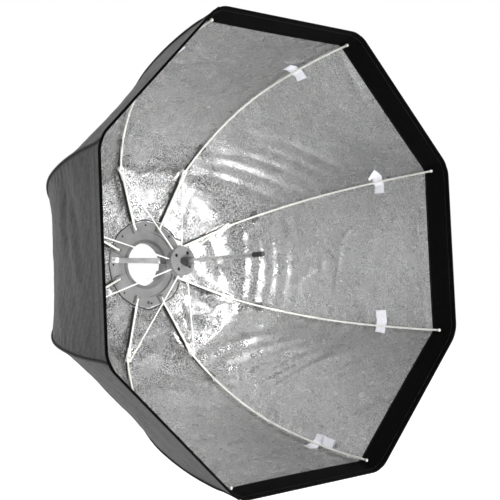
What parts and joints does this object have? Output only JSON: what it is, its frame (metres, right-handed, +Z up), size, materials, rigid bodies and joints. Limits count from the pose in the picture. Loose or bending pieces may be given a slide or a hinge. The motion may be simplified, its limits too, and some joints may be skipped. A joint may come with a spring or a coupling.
{
  "type": "folding octabox",
  "caption": "Umbrella-style eight-sided softbox: sewn black canopy lined with silver, on hinged ribs round a speedring with a bayonet insert, opened by a runner on a central shaft.",
  "frame": {"origin": "centre of the bayonet insert's seat against the flash head, on the bore's axis", "axes": "-Y along the light, towards the open rim; +Z up; +X to the right when looking along +Y"},
  "size_m": [0.8806, 0.566, 0.8806],
  "materials": {
    "cast_metal": "light grey cast, bead-blasted",
    "plate_metal": "light grey satin",
    "insert_metal": "turned, satin",
    "dark_screw": "blackened",
    "pin_steel": "zinc plated",
    "bow_steel": "bright rolled strip",
    "shaft_steel": "polished tube",
    "sleeve_metal": "dark grey satin",
    "cap_plastic": "moulded",
    "button_plastic": "moulded",
    "spring_steel": "music wire",
    "rib_white": "pale grey coated spring steel",
    "canopy_cloth": "black nylon, silver coated inside",
    "silver_lining": "pebbled silver coated nylon",
    "rim_webbing": "black hook-and-loop band",
    "seam_binding": "black bound seam and piping",
    "white_tab": "white sewn tabs and a blank label",
    "grey_keeper": "grey webbing keeper"
  },
  "bodies": {
    "root": {"speedring_casting": "cast_metal", "ring_back_plate": "plate_metal", "ring_screws": "dark_screw", "bayonet_insert": "insert_metal", "insert_screws": "dark_screw", "rib_hinge_pins": "pin_steel", "shaft_bow": "bow_steel", "bow_screws": "pin_steel", "runner_shaft": "shaft_steel", "shaft_nut": "pin_steel", "shaft_hub_collar": "sleeve_metal", "shaft_end_cap": "cap_plastic"},
    "runner": {"runner_front_disc": "plate_metal", "runner_carrier": "plate_metal", "runner_screws": "dark_screw", "runner_sleeve": "sleeve_metal", "stretcher_pins": "pin_steel", "latch_spring": "spring_steel"},
    "latch": {"latch_button": "button_plastic"},
    "arm_1": {"rib_arm_1": "rib_white", "knuckle_pin_1": "pin_steel"},
    "rod_1": {"rib_rod_1": "rib_white", "canopy_panel_1": "canopy_cloth"},
    "strut_1": {"stretcher_1": "rib_white"},
    "arm_2": {"rib_arm_2": "rib_white", "knuckle_pin_2": "pin_steel"},
    "rod_2": {"rib_rod_2": "rib_white", "canopy_panel_2": "canopy_cloth"},
    "strut_2": {"stretcher_2": "rib_white"},
    "arm_3": {"rib_arm_3": "rib_white", "knuckle_pin_3": "pin_steel"},
    "rod_3": {"rib_rod_3": "rib_white", "canopy_panel_3": "canopy_cloth"},
    "strut_3": {"stretcher_3": "rib_white"},
    "arm_4": {"rib_arm_4": "rib_white", "knuckle_pin_4": "pin_steel"},
    "rod_4": {"rib_rod_4": "rib_white", "canopy_panel_4": "canopy_cloth"},
    "strut_4": {"stretcher_4": "rib_white"},
    "arm_5": {"rib_arm_5": "rib_white", "knuckle_pin_5": "pin_steel"},
    "rod_5": {"rib_rod_5": "rib_white", "canopy_panel_5": "canopy_cloth"},
    "strut_5": {"stretcher_5": "rib_white"},
    "arm_6": {"rib_arm_6": "rib_white", "knuckle_pin_6": "pin_steel"},
    "rod_6": {"rib_rod_6": "rib_white", "canopy_panel_6": "canopy_cloth"},
    "strut_6": {"stretcher_6": "rib_white"},
    "arm_7": {"rib_arm_7": "rib_white", "knuckle_pin_7": "pin_steel"},
    "rod_7": {"rib_rod_7": "rib_white", "canopy_panel_7": "canopy_cloth"},
    "strut_7": {"stretcher_7": "rib_white"},
    "arm_8": {"rib_arm_8": "rib_white", "knuckle_pin_8": "pin_steel"},
    "rod_8": {"rib_rod_8": "rib_white", "canopy_panel_8": "canopy_cloth"},
    "strut_8": {"stretcher_8": "rib_white"}
  },
  "joints": [
    {"name": "runner_slide", "type": "slide", "parent": "root", "child": "runner", "axis": [0, -1, 0], "range_m": [0, 0.211]},
    {"name": "latch_press", "type": "slide", "parent": "runner", "child": "latch", "axis": [0, 0, 1], "range_m": [0, 0.002], "stiffness_N_per_m": 300, "springref_m": -0.002, "deforming": ["latch_spring"]},
    {"name": "arm_1_fold", "type": "hinge", "parent": "root", "child": "arm_1", "pos_m": [0.08038, -0.032, 0.03329], "axis": [0.3827, 0, -0.9239], "range_deg": [0, 59.04]},
    {"name": "knuckle_1_straighten", "type": "hinge", "parent": "arm_1", "child": "rod_1", "pos_m": [0.21249, -0.067, 0.08802], "axis": [-0.3827, 0, 0.9239], "range_deg": [0, 28.91], "deforming": ["canopy_panel_1"]},
    {"name": "stretcher_1_swing", "type": "hinge", "parent": "runner", "child": "strut_1", "pos_m": [0.02334, -0.158, 0.01681], "axis": [-0.3827, 0, 0.9239], "range_deg": [0, 38.17]},
    {"name": "arm_2_fold", "type": "hinge", "parent": "root", "child": "arm_2", "pos_m": [0.03329, -0.032, 0.08038], "axis": [0.9239, 0, -0.3827], "range_deg": [0, 59.04]},
    {"name": "knuckle_2_straighten", "type": "hinge", "parent": "arm_2", "child": "rod_2", "pos_m": [0.08802, -0.067, 0.21249], "axis": [-0.9239, 0, 0.3827], "range_deg": [0, 28.91], "deforming": ["canopy_panel_2"]},
    {"name": "stretcher_2_swing", "type": "hinge", "parent": "runner", "child": "strut_2", "pos_m": [0.00462, -0.158, 0.02839], "axis": [-0.9239, 0, 0.3827], "range_deg": [0, 38.17]},
    {"name": "arm_3_fold", "type": "hinge", "parent": "root", "child": "arm_3", "pos_m": [-0.03329, -0.032, 0.08038], "axis": [0.9239, 0, 0.3827], "range_deg": [0, 59.04]},
    {"name": "knuckle_3_straighten", "type": "hinge", "parent": "arm_3", "child": "rod_3", "pos_m": [-0.08802, -0.067, 0.21249], "axis": [-0.9239, 0, -0.3827], "range_deg": [0, 28.91], "deforming": ["canopy_panel_3"]},
    {"name": "stretcher_3_swing", "type": "hinge", "parent": "runner", "child": "strut_3", "pos_m": [-0.01681, -0.158, 0.02334], "axis": [-0.9239, 0, -0.3827], "range_deg": [0, 38.17]},
    {"name": "arm_4_fold", "type": "hinge", "parent": "root", "child": "arm_4", "pos_m": [-0.08038, -0.032, 0.03329], "axis": [0.3827, 0, 0.9239], "range_deg": [0, 59.04]},
    {"name": "knuckle_4_straighten", "type": "hinge", "parent": "arm_4", "child": "rod_4", "pos_m": [-0.21249, -0.067, 0.08802], "axis": [-0.3827, 0, -0.9239], "range_deg": [0, 28.91], "deforming": ["canopy_panel_4"]},
    {"name": "stretcher_4_swing", "type": "hinge", "parent": "runner", "child": "strut_4", "pos_m": [-0.02839, -0.158, 0.00462], "axis": [-0.3827, 0, -0.9239], "range_deg": [0, 38.17]},
    {"name": "arm_5_fold", "type": "hinge", "parent": "root", "child": "arm_5", "pos_m": [-0.08038, -0.032, -0.03329], "axis": [-0.3827, 0, 0.9239], "range_deg": [0, 59.04]},
    {"name": "knuckle_5_straighten", "type": "hinge", "parent": "arm_5", "child": "rod_5", "pos_m": [-0.21249, -0.067, -0.08802], "axis": [0.3827, 0, -0.9239], "range_deg": [0, 28.91], "deforming": ["canopy_panel_5"]},
    {"name": "stretcher_5_swing", "type": "hinge", "parent": "runner", "child": "strut_5", "pos_m": [-0.02334, -0.158, -0.01681], "axis": [0.3827, 0, -0.9239], "range_deg": [0, 38.17]},
    {"name": "arm_6_fold", "type": "hinge", "parent": "root", "child": "arm_6", "pos_m": [-0.03329, -0.032, -0.08038], "axis": [-0.9239, 0, 0.3827], "range_deg": [0, 59.04]},
    {"name": "knuckle_6_straighten", "type": "hinge", "parent": "arm_6", "child": "rod_6", "pos_m": [-0.08802, -0.067, -0.21249], "axis": [0.9239, 0, -0.3827], "range_deg": [0, 28.91], "deforming": ["canopy_panel_6"]},
    {"name": "stretcher_6_swing", "type": "hinge", "parent": "runner", "child": "strut_6", "pos_m": [-0.00462, -0.158, -0.02839], "axis": [0.9239, 0, -0.3827], "range_deg": [0, 38.17]},
    {"name": "arm_7_fold", "type": "hinge", "parent": "root", "child": "arm_7", "pos_m": [0.03329, -0.032, -0.08038], "axis": [-0.9239, 0, -0.3827], "range_deg": [0, 59.04]},
    {"name": "knuckle_7_straighten", "type": "hinge", "parent": "arm_7", "child": "rod_7", "pos_m": [0.08802, -0.067, -0.21249], "axis": [0.9239, 0, 0.3827], "range_deg": [0, 28.91], "deforming": ["canopy_panel_7"]},
    {"name": "stretcher_7_swing", "type": "hinge", "parent": "runner", "child": "strut_7", "pos_m": [0.01681, -0.158, -0.02334], "axis": [0.9239, 0, 0.3827], "range_deg": [0, 38.17]},
    {"name": "arm_8_fold", "type": "hinge", "parent": "root", "child": "arm_8", "pos_m": [0.08038, -0.032, -0.03329], "axis": [-0.3827, 0, -0.9239], "range_deg": [0, 59.04]},
    {"name": "knuckle_8_straighten", "type": "hinge", "parent": "arm_8", "child": "rod_8", "pos_m": [0.21249, -0.067, -0.08802], "axis": [0.3827, 0, 0.9239], "range_deg": [0, 28.91], "deforming": ["canopy_panel_8"]},
    {"name": "stretcher_8_swing", "type": "hinge", "parent": "runner", "child": "strut_8", "pos_m": [0.02839, -0.158, -0.00462], "axis": [0.3827, 0, 0.9239], "range_deg": [0, 38.17]}
  ],
  "couplings": [
    {"joint": "arm_1_fold", "follows": "runner_slide", "rad_per_m": 4.8828},
    {"joint": "knuckle_1_straighten", "follows": "runner_slide", "rad_per_m": 2.3912},
    {"joint": "stretcher_1_swing", "follows": "runner_slide", "rad_per_m": 3.1572},
    {"joint": "arm_2_fold", "follows": "runner_slide", "rad_per_m": 4.8828},
    {"joint": "knuckle_2_straighten", "follows": "runner_slide", "rad_per_m": 2.3912},
    {"joint": "stretcher_2_swing", "follows": "runner_slide", "rad_per_m": 3.1572},
    {"joint": "arm_3_fold", "follows": "runner_slide", "rad_per_m": 4.8828},
    {"joint": "knuckle_3_straighten", "follows": "runner_slide", "rad_per_m": 2.3912},
    {"joint": "stretcher_3_swing", "follows": "runner_slide", "rad_per_m": 3.1572},
    {"joint": "arm_4_fold", "follows": "runner_slide", "rad_per_m": 4.8828},
    {"joint": "knuckle_4_straighten", "follows": "runner_slide", "rad_per_m": 2.3912},
    {"joint": "stretcher_4_swing", "follows": "runner_slide", "rad_per_m": 3.1572},
    {"joint": "arm_5_fold", "follows": "runner_slide", "rad_per_m": 4.8828},
    {"joint": "knuckle_5_straighten", "follows": "runner_slide", "rad_per_m": 2.3912},
    {"joint": "stretcher_5_swing", "follows": "runner_slide", "rad_per_m": 3.1572},
    {"joint": "arm_6_fold", "follows": "runner_slide", "rad_per_m": 4.8828},
    {"joint": "knuckle_6_straighten", "follows": "runner_slide", "rad_per_m": 2.3912},
    {"joint": "stretcher_6_swing", "follows": "runner_slide", "rad_per_m": 3.1572},
    {"joint": "arm_7_fold", "follows": "runner_slide", "rad_per_m": 4.8828},
    {"joint": "knuckle_7_straighten", "follows": "runner_slide", "rad_per_m": 2.3912},
    {"joint": "stretcher_7_swing", "follows": "runner_slide", "rad_per_m": 3.1572},
    {"joint": "arm_8_fold", "follows": "runner_slide", "rad_per_m": 4.8828},
    {"joint": "knuckle_8_straighten", "follows": "runner_slide", "rad_per_m": 2.3912},
    {"joint": "stretcher_8_swing", "follows": "runner_slide", "rad_per_m": 3.1572}
  ]
}
